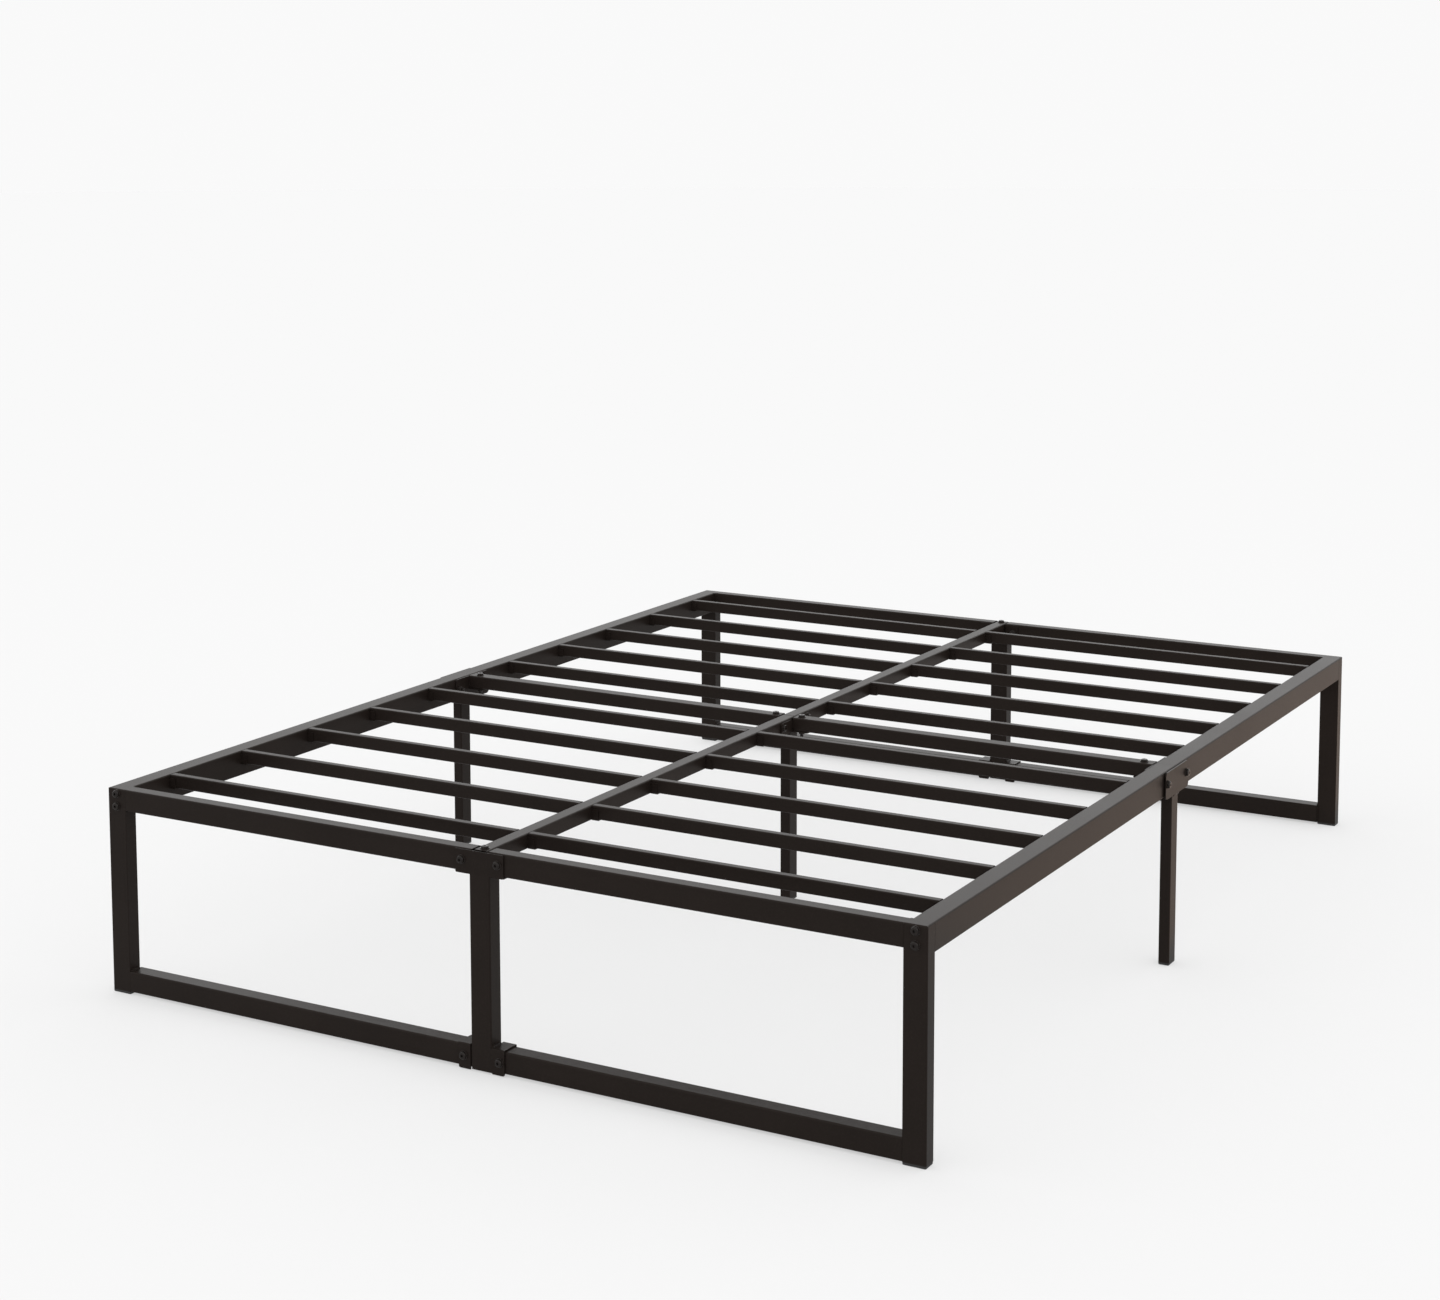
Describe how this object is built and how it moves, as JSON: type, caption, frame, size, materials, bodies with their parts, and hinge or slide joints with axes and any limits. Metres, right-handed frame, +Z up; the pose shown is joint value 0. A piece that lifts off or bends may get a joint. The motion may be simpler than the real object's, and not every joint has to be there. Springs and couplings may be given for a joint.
{
  "type": "platform bed frame",
  "caption": "Black steel-tube platform bed frame with framed ends, a centre rail, evenly spaced cross slats and bolted legs, open underneath for storage.",
  "frame": {"origin": "on the floor, under the middle of the bed frame", "axes": "+Z up; Y along the bed's length with the foot end at -Y; X across the width, +X on the right when standing at the foot end and looking along +Y"},
  "size_m": [1.5422, 2.0472, 0.36],
  "materials": {
    "powder_coat": "satin fine-texture black powder coat on steel tube",
    "bolt_black": "black finished steel button-head bolts",
    "nut_zinc": "dark plated steel nuts and washers",
    "foot_plastic": "black moulded plastic glides"
  },
  "bodies": {
    "root": {"base_rail_foot_left": "powder_coat", "base_rail_foot_right": "powder_coat", "base_rail_head_left": "powder_coat", "base_rail_head_right": "powder_coat", "base_sleeve_foot_left": "powder_coat", "base_sleeve_foot_right": "powder_coat", "base_sleeve_head_left": "powder_coat", "base_sleeve_head_right": "powder_coat", "centre_cradle": "powder_coat", "centre_leg": "powder_coat", "centre_rail_foot": "powder_coat", "centre_rail_head": "powder_coat", "corner_feet": "foot_plastic", "corner_leg_foot_left": "powder_coat", "corner_leg_foot_right": "powder_coat", "corner_leg_head_left": "powder_coat", "corner_leg_head_right": "powder_coat", "cross_bar_left": "powder_coat", "cross_bar_right": "powder_coat", "end_channel_foot": "powder_coat", "end_channel_head": "powder_coat", "end_post_foot": "powder_coat", "end_post_head": "powder_coat", "end_rail_foot_left": "powder_coat", "end_rail_foot_right": "powder_coat", "end_rail_head_left": "powder_coat", "end_rail_head_right": "powder_coat", "joint_bolts": "bolt_black", "middle_feet": "foot_plastic", "nuts_and_washers": "nut_zinc", "rail_end_plates": "powder_coat", "side_bracket_left": "powder_coat", "side_bracket_right": "powder_coat", "side_leg_left": "powder_coat", "side_leg_right": "powder_coat", "side_rail_foot_left": "powder_coat", "side_rail_foot_right": "powder_coat", "side_rail_head_left": "powder_coat", "side_rail_head_right": "powder_coat", "slat_left_01": "powder_coat", "slat_left_02": "powder_coat", "slat_left_03": "powder_coat", "slat_left_04": "powder_coat", "slat_left_05": "powder_coat", "slat_left_06": "powder_coat", "slat_left_07": "powder_coat", "slat_left_08": "powder_coat", "slat_left_09": "powder_coat", "slat_left_10": "powder_coat", "slat_right_01": "powder_coat", "slat_right_02": "powder_coat", "slat_right_03": "powder_coat", "slat_right_04": "powder_coat", "slat_right_05": "powder_coat", "slat_right_06": "powder_coat", "slat_right_07": "powder_coat", "slat_right_08": "powder_coat", "slat_right_09": "powder_coat", "slat_right_10": "powder_coat", "slat_saddles": "powder_coat"}
  },
  "joints": []
}
